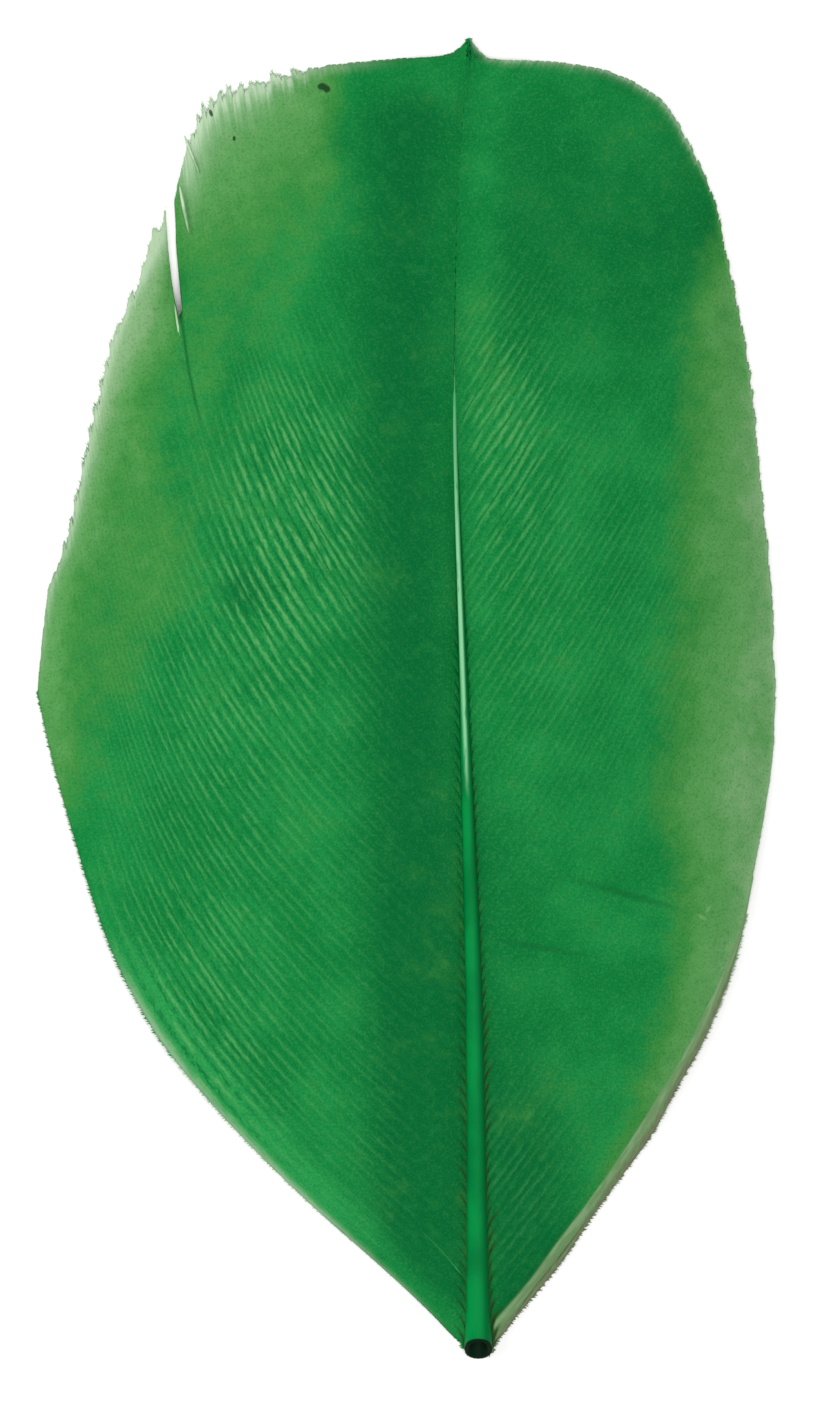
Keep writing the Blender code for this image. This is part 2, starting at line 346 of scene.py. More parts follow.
def vane_z(side, x, y):
    """Height of the vane's upper side in millimetres."""
    reach = np.interp(y, *OUTLINE[side])
    widest = OUTLINE[side][1].max()
    share = np.clip(np.abs(x - smooth(SHAFT_X, y)) / np.maximum(reach, LEAST_REACH), 0.0, 1.0)
    rim = EDGE_THICK + RIM_LIFT * mound(RIM_LIFT_Y, RIM_LIFT_REACH, y)
    dome = rim + (smooth(SPINE_Z, y) - rim) * (1.0 - share**DOME_POWER)
    swell = share / CREST_AT * np.exp(1.0 - share / CREST_AT) * (1.0 - share**CREST_FADE)
    return dome + CREST[side] * reach / widest * swell


print("widest reach, mm:", {side: round(float(OUTLINE[side][1].max()), 1) for side in BARBS})

# %% [markdown]
# ## The vanes
#
# On the real feather each barb is a thin ridge with a web of barbules on either side, hooked into
# the web of its neighbour. Hair strands would give the barbs but not the closed web, and a flat
# sheet with a bump map would lose them from the side. So each vane starts as one grid from the
# Add menu, with six columns for every barb and a row every half millimetre, and its points are
# laid on the barb curves: valley, web, crest, web. Small wanderings along each barb, drawn from a
# seeded generator, break the evenness as drying does.

# %% Relief of one barb and its wanderings
PHASES = np.array((0.0, 0.22, 0.40, 0.50, 0.60, 0.78))
RELIEF = np.array((-0.75, -0.45, 0.50, 1.0, 0.50, -0.35))
RELIEF_MM = 0.036
USUAL_GAP_MM = 0.42
LOWEST_TOP = 0.09
ROWS_ALONG = 66
ALONG = np.concatenate([
    [0.0, 0.004, 0.009, 0.015, 0.023, 0.033],
    np.linspace(0.045, 0.965, ROWS_ALONG - 10),
    [0.978, 0.986, 0.993, 1.0],
])


def wander(random, number, stops):
    """A smooth random value along the barbs, between -1 and 1, that eases from barb to barb."""
    knots = random.uniform(-1.0, 1.0, (BARB_COUNT, stops))
    places = np.linspace(0.0, 1.0, stops)
    lines = np.array([smooth(np.column_stack([places, row]), ALONG) for row in knots])
    spot = np.clip(number - 0.5, 0.0, BARB_COUNT - 1.0)
    low = np.minimum(spot.astype(int), BARB_COUNT - 2)
    share = (spot - low)[:, None]
    return lines[low] * (1.0 - share) + lines[low + 1] * share


print("points along a barb:", len(ALONG), "columns a barb:", len(PHASES))

# %% [markdown]
# ## Ragged tips
#
# The barbs of a worn vane don't end in line. They stick together in tufts of two to four, and in
# each tuft the outermost barb reaches furthest, so that the edge looks like a worn saw. It is
# worst at the upper left corner and on the torn flap below it, and slight on the right side. The
# flap ends in two points with a notch between them, so its last barbs are set one by one.

# %% Tufts at the barbs' ends
# barb number, and how far its tip strays at the end of the torn flap
FLAP_END_MM = (
    (34.0, 0.20), (35.3, 0.35), (36.35, 0.95), (37.2, 0.05), (38.0, -0.05), (38.5, 0.05), (39.0, -0.35),
)


def raggedness(side, number):
    """How far tips stray from the outline, in millimetres, by barb number."""
    if side == "left":
        flap = 0.24 * step_up(2.0, 10.0, number) * step_down(37.5, 38.5, number)
        corner = 0.34 * step_up(40.0, 47.0, number) * step_down(60.0, 76.0, number)
        return 0.05 + flap + corner
    return 0.06 + 0.07 * mound(34.0, 22.0, number)


def tufts(random):
    """One value between -0.6 and 1 for every barb, falling across each tuft."""
    values = []
    while len(values) < BARB_COUNT:
        size = int(random.integers(2, 5))
        strength = random.uniform(0.5, 1.0)
        values += list(strength * np.linspace(1.0, -0.6, size))
    return np.array(values[:BARB_COUNT])


print("tip stray on the left, mm:", np.round(raggedness("left", np.arange(0, 97, 16)), 2))

# %% Lay a grid of points on the barbs
def vane_grid(side, seed):
    """Everything about a vane's points as arrays of columns by rows, in millimetres."""
    random = np.random.default_rng(seed)
    number = (np.arange(BARB_COUNT)[:, None] + PHASES[None, :]).ravel()
    number = np.append(number, BARB_COUNT)
    barb_of = np.minimum(number.astype(int), BARB_COUNT - 1)
    relief = np.append(np.tile(RELIEF, BARB_COUNT), RELIEF[0])

    ragged = raggedness(side, number)
    valley_back = -(0.05 + 0.9 * ragged * random.uniform(0.2, 1.0, BARB_COUNT)[barb_of]) * (relief < -0.7)
    root_x, root_y = (a[:, [0, -1]] for a in barb_points(side, root_of(number), ALONG))
    length = np.maximum(np.hypot(np.diff(root_x)[:, 0], np.diff(root_y)[:, 0]), 1.0)
    stray = ragged * tufts(random)[barb_of]
    if side == "left":
        flap_end = (number >= FLAP_END_MM[0][0]) & (number < FLAP_END_MM[-1][0])
        stray = np.where(flap_end, np.interp(number, *np.transpose(FLAP_END_MM)), stray)
    extra = (valley_back + stray) / length
    along = ALONG[None, :] * (1.0 + extra[:, None] * step_up(0.6, 1.0, ALONG)[None, :])
    x, y = barb_points(side, root_of(number), along)

    step = np.hypot(np.gradient(x, axis=1), np.gradient(y, axis=1))
    ahead_x, ahead_y = np.gradient(x, axis=1) / step, np.gradient(y, axis=1) / step
    across_x, across_y = np.gradient(x, number, axis=0), np.gradient(y, number, axis=0)
    gap = np.abs(across_x * ahead_y - across_y * ahead_x)
    sway = 0.10 * wander(random, number, 11) * step_up(0.0, 0.1, ALONG) * np.minimum(gap / USUAL_GAP_MM, 1.0)
    x, y = x + sway * ahead_y, y - sway * ahead_x
    run = np.hypot(np.diff(x, axis=1), np.diff(y, axis=1)).cumsum(axis=1)
    run = np.hstack([np.zeros((len(number), 1)), run])
    return dict(number=number, relief=relief, x=x, y=y, gap=gap, run=run, random=random)


print("ready to lay", BARB_COUNT * len(PHASES) + 1, "columns of points on each side")

# %% [markdown]
# ## Height of the fine surface
#
# Where the barbs stand out depends on the place. In mid vane they are crisp ridges. Beside the
# shaft on the left, towards the top and in the pale rims they are flattened and hardly show. At
# their feet they bend towards the quill, with deep dark gaps between them, and the vane sinks a
# little beside the shaft, which stands proud of it. The lowest barb on the right is rolled under,
# and both rims come down to the table.

# %% Shape the vane
SLIT_NUMBER = {"left": 38, "right": None}
SLIT_FROM = 0.81
FOOT_MM, FOOT_PULL = 0.5, 0.60
SLIT_OPENS_LEFT, SLIT_OPENS_RIGHT, SLIT_SINKS = 0.28, 0.12, 0.88
SHAFT_DIP, ROLLED_BARB_DROP, EDGE_DROP, FOLD_MM = 0.26, 0.30, 0.24, 0.020
FOOT_PROFILE = np.array((1.0, 0.75, 0.15, 0.0, 0.1, 0.6))
CRISP = {
    "left": (
        (-6.0, 9.5, 3.3, 6.5, 1.10), (-10.0, -0.5, 4.6, 7.0, 0.34), (-8.0, -4.0, 13.0, 26.0, 0.24),
        (-11.6, -19.5, 4.6, 9.5, 0.66), (-0.5, -25.0, 4.0, 6.5, 0.16),
    ),
    "right": (
        (5.2, 15.0, 2.6, 6.5, 0.55), (5.5, 4.0, 3.5, 8.0, 0.16), (11.0, 6.0, 8.0, 13.0, 0.27),
        (6.0, -26.0, 4.0, 6.5, 0.28),
    ),
}


def shaft_distance(x, y):
    return np.abs(x - smooth(SHAFT_X, y))


def edge_distance(side, grid, x, y):
    """Distance to the vane's edge: sideways, or along the barb where its tip is closer."""
    sideways = np.interp(y, *OUTLINE[side]) - shaft_distance(x, y)
    return np.minimum(sideways, 0.85 * (grid["run"][:, -1:] - grid["run"]))


def ridge_show(side, grid, x, y):
    """How clearly the barbs stand out at a place."""
    away, edge = shaft_distance(x, y), edge_distance(side, grid, x, y)
    show = 0.0
    for *oval, strength in CRISP[side]:
        show = show + strength * soft_oval(x, y, *oval)
    if side == "left":
        show = show * (0.15 + 0.85 * step_up(1.5, 6.0, away))
    flat_rim = 0.3 + 3.2 * (step_up(-12.0, -3.0, y) if side == "left" else 1.0)
    return show * (0.15 + 0.85 * step_up(0.1, flat_rim, edge)) * step_up(-0.1, 0.9, grid["run"])


def shape_vane(side, grid):
    """Bends the feet, opens the slit, and gives every point its height."""
    x, y, run, number = grid["x"], grid["y"], grid["run"], grid["number"][:, None]
    y -= FOOT_PULL * np.exp(-run / FOOT_MM) * step_up(0.0, 4.0, run[:, -1:])
    if side == "left":
        dent = (0.13 * mound(5.5, 5.0, run) + 0.22 * mound(33.5, 4.0, run)) * np.exp(-number / 5.0)
        x, y = x + dent, y + dent
    slit = SLIT_NUMBER[side]
    if slit:
        opening = step_up(SLIT_FROM - 0.02, SLIT_FROM + 0.08, ALONG)[None, :]
        left_of_it = number <= slit + 1
        nearness = np.exp(-np.abs(number - slit - 1) / 4.0)
        x = x - SLIT_OPENS_LEFT * opening * nearness * left_of_it
        x = x + SLIT_OPENS_RIGHT * opening * nearness * ~left_of_it
    z = vane_z(side, x, y)
    if slit:
        z -= SLIT_SINKS * (z - LOWEST_TOP) * opening * nearness

    strength = 1.0 + 0.5 * wander(grid["random"], grid["number"], 22)
    strength *= np.minimum(grid["gap"] / USUAL_GAP_MM, 1.25) * ridge_show(side, grid, x, y)
    z += RELIEF_MM * grid["relief"][:, None] * strength
    gaps = np.maximum(-grid["relief"][:, None], 0.0)
    z -= 0.12 * gaps * np.exp(-run / (1.1 * FOOT_MM)) * (1.0 - 0.92 * step_up(-4.0, 10.0, y))
    beside = shaft_distance(x, y) - 0.5 * smooth(SHAFT_WIDTH, y)
    z -= SHAFT_DIP * step_down(0.0, 0.55, beside) * (1.0 - 0.9 * step_up(4.0, 20.0, y))
    if slit:
        before_it = step_up(0.64, 0.70, ALONG) * step_down(0.82, 0.86, ALONG)
        z -= 0.10 * mound(slit + 1.0, 0.35, number) * before_it
    folds = np.sin(number * 0.9 + 3.0 * ALONG) + np.sin(number * 0.37 - 5.0 * ALONG + 1.0)
    z += FOLD_MM * folds * step_up(0.06, 0.25, ALONG)
    if side == "right":
        z -= ROLLED_BARB_DROP * step_down(0.1, 2.0, number) * step_up(0.02, 0.12, ALONG)
    z -= EDGE_DROP * step_down(0.0, 1.6, np.interp(y, *OUTLINE[side]) - shaft_distance(x, y))
    return x, y, np.maximum(z, LOWEST_TOP)


print("slit starts at", SLIT_FROM, "of the way along barb", SLIT_NUMBER["left"])

# %% [markdown]
# ## Where the dye took, where it did not, and where shade is painted
#
# The vane isn't one green. It is deep beside the shaft, where the barbs are thick and hold more dye
# and where painted shade stands for the vane dipping away from the light, and pale along the outer
# edges, where they thin out and hardly hold dye: a broad band down the right edge, the torn flap on
# the left, and the frayed upper left corner, which fades to nearly white. These tones are worked
# out for each point from plain distances, and are kept on the mesh as named attributes, which the
# material reads later.

# %% Tones of the dye and of painted shade
PALE_FROM = {
    "right": (
        (-27.0, 9.4), (-24.0, 11.3), (-18.5, 12.8), (-12.2, 14.5), (-5.0, 13.1), (0.0, 13.8), (11.6, 14.3),
        (18.0, 14.8), (26.0, 16.4),
    ),
    "left": (
        (-12.0, -17.8), (-3.0, -16.7), (0.0, -14.8), (3.7, -12.6), (7.0, -11.3), (10.6, -11.6),
        (13.2, -12.8), (17.0, -13.2), (20.0, -12.6), (27.0, -13.4),
    ),
}


def paleness(side, grid, x, y):
    """0 where the dye is full, half in the pale bands, 1 where hardly any took."""
    number, edge = grid["number"][:, None], edge_distance(side, grid, x, y)
    outward = SIGN[side] * x - np.abs(smooth(PALE_FROM[side], y))
    if side == "right":
        pale = 0.42 * step_up(-1.6, 1.6, outward) + 0.40 * step_up(0.5, 4.8, outward)
        pale = pale * (1.0 + 0.26 * step_down(-13.0, -6.0, y)) + 0.12 * step_down(0.0, 0.4, edge)
        return pale + 0.14 * soft_oval(x, y, 4.2, 18.5, 1.3, 4.5)
    on_flap = step_down(38.4, 39.4, number)
    pale = 0.28 * step_up(-1.8, 2.4, outward) * on_flap
    by_split = step_up(31.0, 39.0, number) * step_down(15.0, 21.0, y)
    pale += 0.40 * step_up(11.0, 20.0, y) * step_up(-1.5, 1.5, outward) * on_flap
    pale *= 1.0 - 0.45 * by_split
    pale += 0.40 * step_down(0.0, 2.3, edge) * step_up(-8.0, 4.0, y) * on_flap
    corner = np.hypot((x + 12.0) / 9.5, (y - 33.5) / 8.5)
    bleached = 0.68 * step_down(0.1, 1.38, corner) + 0.16 * step_down(0.6, 2.2, corner)
    bleached += 0.17 * soft_oval(x, y, -10.2, 17.0, 3.2, 10.0)
    return pale + bleached * (1.0 - step_up(-4.7, -2.0, x) * step_up(14.0, 18.0, y))


def tones(side, grid, x, y):
    """All named values of a vane's points, between 0 and 1."""
    number, run, edge = grid["number"][:, None], grid["run"], edge_distance(side, grid, x, y)
    away = shaft_distance(x, y)
    if side == "left":
        # a dark band beside the shaft, from deeper dye in the thick barbs and from painted shade where the
        # vane dips to the shaft away from the light, and a dark spot; then the frayed edges, which lost
        # their dye
        deep_dye_and_shade = (1.15 - 0.26 * step_up(-13.0, -4.0, y)) * mound(2.9, 3.2, away) * step_up(0.1, 3.0, edge)
        deep_dye_and_shade += 0.8 * soft_oval(x, y, -8.6, 5.8, 1.2, 1.4)
        torn = step_up(39.0, 44.0, number) * step_down(56.0, 72.0, number)
        fade = torn * (0.5 * step_down(0.0, 2.6, edge) + 0.45 * step_down(0.0, 1.0, edge))
        top_edge = step_up(58.0, 64.0, number) * step_down(70.0, 92.0, number)
        low_edge = step_up(-34.0, -31.0, y) * step_down(-17.0, -11.0, y)
        fade += 0.45 * step_down(0.0, 0.8, edge) * top_edge
        fade += 0.50 * step_down(0.0, 0.85, edge) * low_edge
        on_flap = step_down(38.4, 39.4, number)
        fade += 0.42 * step_down(-0.2, 1.4, edge) * step_up(0.0, 12.0, y) * on_flap
        fade += 0.30 * step_down(0.05, 0.5, edge) * step_up(-3.0, 6.0, y) * on_flap
        bright = step_down(0.8, 4.0, edge) * step_down(-16.0, -9.0, y) * step_up(-32.0, -25.0, y)
    else:
        # darker at the top, along the shaft and low down: painted shade where the vane slopes away from the
        # light and a painted shadow beside the shaft, over deeper dye; and a thin faded line at the edge
        bright = 0.4 * step_down(0.5, 7.0, edge) * step_down(-16.0, -10.0, y) * step_up(-30.0, -25.0, y)
        deep_dye_and_shade = 0.60 * mound(25.0, 9.0, y) * step_up(0.8, 3.0, away) + 0.5 * mound(0.0, 1.1, away)
        deep_dye_and_shade += 0.60 * step_down(-27.0, -15.0, y) * step_down(3.0, 9.0, away)
        deep_dye_and_shade += 0.45 * mound(1.5, 3.2, away) * step_down(-9.0, 1.0, y)
        fade = 0.25 * step_down(0.0, 0.25, edge) * step_up(-12.0, 0.0, y)
        fade += 0.30 * step_down(0.0, 0.7, edge) * step_up(26.0, 30.0, y)
    # painted shade in the gaps at the barbs' feet and along the shaft, brown-green, a little longer or
    # shorter from barb to barb
    profile = np.append(np.tile(FOOT_PROFILE, BARB_COUNT), FOOT_PROFILE[0])[:, None]
    hook = grid["random"].uniform(0.35, 1.00, BARB_COUNT + 1)[np.rint(number).astype(int)]
    hook = hook * (1.0 - 0.35 * step_up(-20.0, -12.0, y))
    foot_shade = mound(0.0, hook, run) * profile + 0.65 * mound(0.0, 0.36, run)
    if side == "left":
        foot_shade *= 0.60 * (1.0 - 0.95 * step_up(-14.0, -3.0, y))
    else:
        foot_shade *= 1.30 * (1.0 - 0.92 * step_up(-7.0, 3.0, y))
    # the rolled rim, and a grey-brown painted shadow along its outer side
    rim = step_down(1.45, 1.90, number) * step_up(0.0, 0.03, ALONG) * (side == "right")
    # painted shade in the groove before the slit and along its edge
    split = mound(39.0, 0.28, number) * step_up(0.57, 0.68, ALONG) * (side == "left")
    values = dict(pale=paleness(side, grid, x, y), deep_dye_and_shade=deep_dye_and_shade, bright=bright, foot_shade=foot_shade, rim=rim, fade=fade,
                  rim_shadow=rim * step_down(0.0, 1.3, number),
                  split=split, show=ridge_show(side, grid, x, y))
    return {name: np.clip(value, 0.0, 1.0) * np.ones_like(x) for name, value in values.items()}


print("tones kept for each point: pale, deep, bright, foot, rim, fade, soil, split, show")

# %% Build a vane from a grid primitive
def build_vane(side, seed):
    """The vane as an open sheet, with its tones and its map, and its free edges as a table."""
    grid = vane_grid(side, seed)
    x, y, z = shape_vane(side, grid)
    columns, rows = x.shape
    deselect()
    bpy.ops.mesh.primitive_grid_add(x_subdivisions=columns - 1, y_subdivisions=rows - 1, size=2.0,
                                    location=(0.0, 0.0, 0.0))
    vane = bpy.context.object
    mesh = vane.data
    start = np.empty(len(mesh.vertices) * 3, np.float32)
    mesh.vertices.foreach_get("co", start)
    start = start.reshape(-1, 3)
    column = np.rint((start[:, 0] + 1.0) * 0.5 * (columns - 1)).astype(int)
    row = np.rint((start[:, 1] + 1.0) * 0.5 * (rows - 1)).astype(int)
    place = np.column_stack([a[column, row] for a in (x, y, z)]) * MM
    mesh.vertices.foreach_set("co", place.astype(np.float32).ravel())
    for name, value in tones(side, grid, x, y).items():
        keep(mesh, name, value[column, row])
    corner = np.empty(len(mesh.loops), np.int32)
    mesh.loops.foreach_get("vertex_index", corner)
    flat = np.column_stack([grid["number"][column][corner], grid["run"][column, row][corner]])
    mesh.uv_layers[0].data.foreach_set("uv", flat.astype(np.float32).ravel())
    share = np.round(1.0 - 0.65 * step_up(0.0, 0.8, ALONG), 2)
    thin = vane.vertex_groups.new(name="thickness")
    for value in np.unique(share):
        picked = np.nonzero(np.isin(row, np.nonzero(share == value)[0]))[0]
        thin.add(picked.tolist(), float(value), "REPLACE")
    return vane, column, row, dict(grid, x=x, y=y, z=z)


def cut_slit(vane, side, column, row):
    """Opens the slit: the faces between two barbs are deleted along its length."""
    first = (SLIT_NUMBER[side] + 1) * len(PHASES) - 1
    first_row = int(np.searchsorted(ALONG, SLIT_FROM))
    only(vane)
    bpy.ops.object.mode_set(mode="EDIT")
    bpy.ops.mesh.select_mode(type="FACE")
    bpy.ops.mesh.select_all(action="DESELECT")
    bpy.ops.object.mode_set(mode="OBJECT")
    for face in vane.data.polygons:
        corners = list(face.vertices)
        between = column[corners].min() >= first and column[corners].max() <= first + 2
        face.select = bool(between and row[corners].min() >= first_row)
    bpy.ops.object.mode_set(mode="EDIT")
    bpy.ops.mesh.delete(type="FACE")
    bpy.ops.object.mode_set(mode="OBJECT")


print("the slit is cut from row", int(np.searchsorted(ALONG, SLIT_FROM)), "of", len(ALONG))

# %% Thicken both vanes
WEB_THICK = 0.22
vanes, sheets = {}, {}
for side, seed in (("left", 11), ("right", 23)):
    vane, column, row, sheets[side] = build_vane(side, seed)
    if SLIT_NUMBER[side]:
        cut_slit(vane, side, column, row)
    only(vane)
    if side == "left":
        bpy.ops.object.mode_set(mode="EDIT")
        bpy.ops.mesh.select_all(action="SELECT")
        bpy.ops.mesh.flip_normals()
        bpy.ops.object.mode_set(mode="OBJECT")
    # both sheets face down here, so the web rises from them
    solid = vane.modifiers.new("web thickness", "SOLIDIFY")
    solid.thickness = WEB_THICK * MM
    solid.offset = -1.0
    solid.vertex_group = "thickness"
    solid.thickness_vertex_group = 0.0
    bpy.ops.object.modifier_apply(modifier=solid.name)
    bpy.ops.object.shade_smooth()
    vanes[side] = finish_piece(vane, side + "_vane")

# %% [markdown]
# ## The shaft
#
# The shaft is a tapering rod of keratin, boxy in section, with a groove along its underside. It
# is modelled as one would by hand: a circle is added, it is extruded ring by ring, and each ring
# is moved and scaled to the width and height that the shaft has there. At the quill the end is
# cut at a slant and its face is inset and pushed in, which leaves the dark hollow that shows in
# the photograph.

# %% Extrude the shaft
SHAFT_SIDES = 20
SHAFT_STEPS = 90
QUILL_TALL = 1.30
SHAFT_TALL = ((-35.0, QUILL_TALL), (-27.5, 1.25), (-10.0, 1.05), (10.0, 0.80), (35.0, 0.30))
SHAFT_PROUD = (
    (-35.0, 0.28), (-10.0, 0.28), (6.0, 0.26), (14.0, 0.22), (20.0, 0.14), (28.0, 0.03), (35.0, 0.02),
)
FLAT_END_Y = -31.6
CUT_SLANT = 1.15
QUILL_WALL = 0.13
HOLLOW_DEPTH = 1.3
BOXINESS = ((-35.0, 0.95), (-32.0, 0.75), (-20.0, 0.62), (35.0, 0.62))
CROWN_HIGHLIGHT_WIDTH = (
    (-35.0, 0.0), (-5.0, 0.0), (-4.2, 0.10), (-2.5, 0.22), (1.0, 0.38), (8.0, 0.55), (35.0, 0.9),
)


def shaft_heights(y):
    top = float(smooth(SPINE_Z, y) + smooth(SHAFT_PROUD, y))
    return top, 0.0 if y <= FLAT_END_Y else max(top - float(smooth(SHAFT_TALL, y)), 0.0)


def build_shaft():
    deselect()
    bpy.ops.mesh.primitive_circle_add(vertices=SHAFT_SIDES, radius=1.0, fill_type="NGON",
                                      location=(0.0, 0.0, 0.0), rotation=(math.radians(90.0), 0.0, 0.0))
    shaft = bpy.context.object
    bpy.ops.object.transform_apply(rotation=True)
    upper = np.linspace(QUILL_END_Y + 0.4, TIP_Y, SHAFT_STEPS - 1)
    places = np.append([QUILL_END_Y, QUILL_END_Y + 0.05], upper)
    bpy.ops.object.mode_set(mode="EDIT")
    bpy.ops.mesh.select_all(action="SELECT")
    for _ in places[1:]:
        bpy.ops.mesh.extrude_region_move(TRANSFORM_OT_translate={"value": (0.0, 1.0, 0.0)})
    bpy.ops.object.mode_set(mode="OBJECT")
    mesh = shaft.data
    start = np.empty(len(mesh.vertices) * 3, np.float32)
    mesh.vertices.foreach_get("co", start)
    start = start.reshape(-1, 3)
    ring = np.rint(start[:, 1]).astype(int)
    y = places[ring]
    boxiness = smooth(BOXINESS, y)
    across = np.sign(start[:, 0]) * np.abs(start[:, 0]) ** boxiness
    up = np.sign(start[:, 2]) * np.abs(start[:, 2]) ** boxiness
    heights = np.array([shaft_heights(place) for place in places])[ring]
    z = heights[:, 1] + 0.5 * (heights[:, 0] - heights[:, 1]) * (1.0 + up)
    groove = mound(0.0, 0.35, across) * (up < -0.5) * step_up(-31.0, -27.0, y)
    z += 0.22 * groove * (heights[:, 0] - heights[:, 1])
    x = smooth(SHAFT_X, y) + 0.5 * smooth(SHAFT_WIDTH, y) * across
    slant = np.interp(ring, (1.0, 2.0, 3.0, 4.0), (CUT_SLANT, 0.85, 0.30, 0.0)) * z / heights[:, 0]
    place = np.column_stack([x, y + slant, z]) * MM
    mesh.vertices.foreach_set("co", place.astype(np.float32).ravel())
    mesh.update()
    return shaft


def hollow_quill(shaft):
    """Insets the slanted cut face and pushes it in, so that the quill is an open tube."""
    only(shaft)
    bpy.ops.object.mode_set(mode="EDIT")
    bpy.ops.mesh.select_mode(type="FACE")
    bpy.ops.mesh.select_all(action="SELECT")
    bpy.ops.mesh.normals_make_consistent(inside=False)
    bpy.ops.mesh.select_all(action="DESELECT")
    bpy.ops.object.mode_set(mode="OBJECT")
    ends = [face for face in shaft.data.polygons if len(face.vertices) == SHAFT_SIDES]
    end = min(ends, key=lambda face: face.center[1])
    end.select = True
    bpy.ops.object.mode_set(mode="EDIT")
    bpy.ops.mesh.inset(thickness=QUILL_WALL * MM, depth=0.03 * MM)
    bpy.ops.mesh.inset(thickness=QUILL_WALL * MM, depth=-0.10 * MM)
    bpy.ops.mesh.extrude_region_move(TRANSFORM_OT_translate={"value": (0.0, HOLLOW_DEPTH * MM, -0.05 * MM)})
    bpy.ops.object.mode_set(mode="OBJECT")


def shaft_tones(piece):
    """Keeps on the mesh where the crown gets a painted highlight, where the side gets painted shade and
    where the quill's open end is painted dark as shade.
    """
    mesh = piece.data
    place = np.empty(len(mesh.vertices) * 3, np.float32)
    mesh.vertices.foreach_get("co", place)
    x, y, z = (place.reshape(-1, 3) / MM).T
    across = (x - smooth(SHAFT_X, y)) / (0.5 * smooth(SHAFT_WIDTH, y))
    crown = step_up(-0.30, -0.02, z - smooth(SPINE_Z, y) - smooth(SHAFT_PROUD, y))
    # the painted highlight along the crown
    half = smooth(CROWN_HIGHLIGHT_WIDTH, y)
    crown_highlight = crown * step_down(half - 0.2, half + 0.25, np.abs(across + 0.12)) * (half > 0.0)
    # the quill's hollow and its cut face, painted nearly black as shade
    inside = (np.hypot(across, (z - 0.65) / 0.65) < 0.85) & (y < -32.0)
    cut = np.maximum(step_down(0.0, 0.05, y - (QUILL_END_Y + CUT_SLANT * z / QUILL_TALL)), inside)
    crown_highlight *= (1.0 - 0.45 * step_up(4.0, 14.0, y)) * step_down(13.0, 22.0, y)
    shade = step_up(0.1, 0.75, across) + step_up(0.45, 0.9, -across) * step_up(-8.0, 0.0, y)
    for name, value in (("crown_highlight", crown_highlight), ("shade", shade), ("cut", cut)):
        keep(mesh, name, np.clip(value, 0.0, 1.0))


shaft = build_shaft()
hollow_quill(shaft)
only(shaft)
bpy.ops.object.shade_smooth_by_angle(angle=math.radians(40.0))
shaft_tones(shaft)
shaft = finish_piece(shaft, "shaft")

# %% [markdown]
# ## The fringe
#
# Under a lens a vane doesn't end in a line. Every barb runs out in hairs, and its last barbules
# stand free beside it, unhooked. They soften the outline and make the frayed corner. One
# three-sided spike is repeated along the barbs' tips and along the lowest barb of each vane, all
# joined in one mesh for each side, with its own tones for how clear or dyed a hair is and how much
# grey-brown painted shadow it carries.

# %% Hairs along the free edges
SPIKE_FACES = ((0, 1, 3), (1, 2, 3), (2, 0, 3), (0, 2, 1))
HAIRS_A_COLUMN = 3
LOWEST_BARB_HAIRS = 420


def hairs_of(side, seed):
    """Start, end, width, painted shadow and dye of every free hair of a vane, one to a row, in millimetres.
    """
    random = np.random.default_rng(seed)
    sheet = sheets[side]
    hairs = []
    for column, number in enumerate(sheet["number"]):
        tip = np.array([sheet[a][column, -1] for a in "xyz"])
        back = np.array([sheet[a][column, -3] for a in "xyz"])
        ahead = (tip - back) / max(np.linalg.norm(tip - back), 1e-6)
        beside = np.array([ahead[1], -ahead[0], 0.0])
        reach = 0.10 + 0.95 * float(raggedness(side, number))
        dyed = 0.7 * float((number > 76.0) or (side == "left" and number < 22.0))
        for _ in range(HAIRS_A_COLUMN):
            turn = random.normal(0.0, 0.45)
            size = reach * random.uniform(0.3, 1.0)
            start = tip - ahead * random.uniform(0.02, 0.2) + beside * random.uniform(-0.04, 0.04)
            end = start + size * (ahead * math.cos(turn) + beside * math.sin(turn))
            end[2] = max(end[2] - 0.1 * size, 0.02)
            hairs.append((*(start - [0, 0, 0.03]), *end, random.uniform(0.025, 0.045), 0.0, dyed))
    low = np.array([sheet[a][0] for a in "xyz"])
    spots = np.linspace(1.0, len(ALONG) - 1.2, LOWEST_BARB_HAIRS)
    way = np.gradient(low[:2], axis=1) / np.hypot(*np.gradient(low[:2], axis=1))
    for spot in spots:
        base = np.array([np.interp(spot, np.arange(len(ALONG)), axis) for axis in low])
        ahead = np.array([np.interp(spot, np.arange(len(ALONG)), axis) for axis in way])
        outward = np.array([ahead[1], -ahead[0]]) * SIGN[side]
        size = random.uniform(0.08, 0.26)
        lean = random.uniform(0.1, 0.9)
        end = base + np.array([*(size * (outward * 0.9 + ahead * lean)), -0.04])
        end[2] = max(end[2], 0.02)
        inner = base - np.array([*(0.04 * outward), 0.04])
        # a grey-brown painted shadow on the hairs along the lower right rim
        rim_shadow = random.uniform(0.5, 1.0) * (side == "right")
        rim_shadow *= 1.0 - 0.8 * step_up(0.60, 0.95, spot / len(ALONG))
        dyed = float(side == "left" and not -30.5 < base[1] < -19.0)
        hairs.append((*inner, *end, random.uniform(0.08, 0.17), rim_shadow, dyed))
    return np.array(hairs)


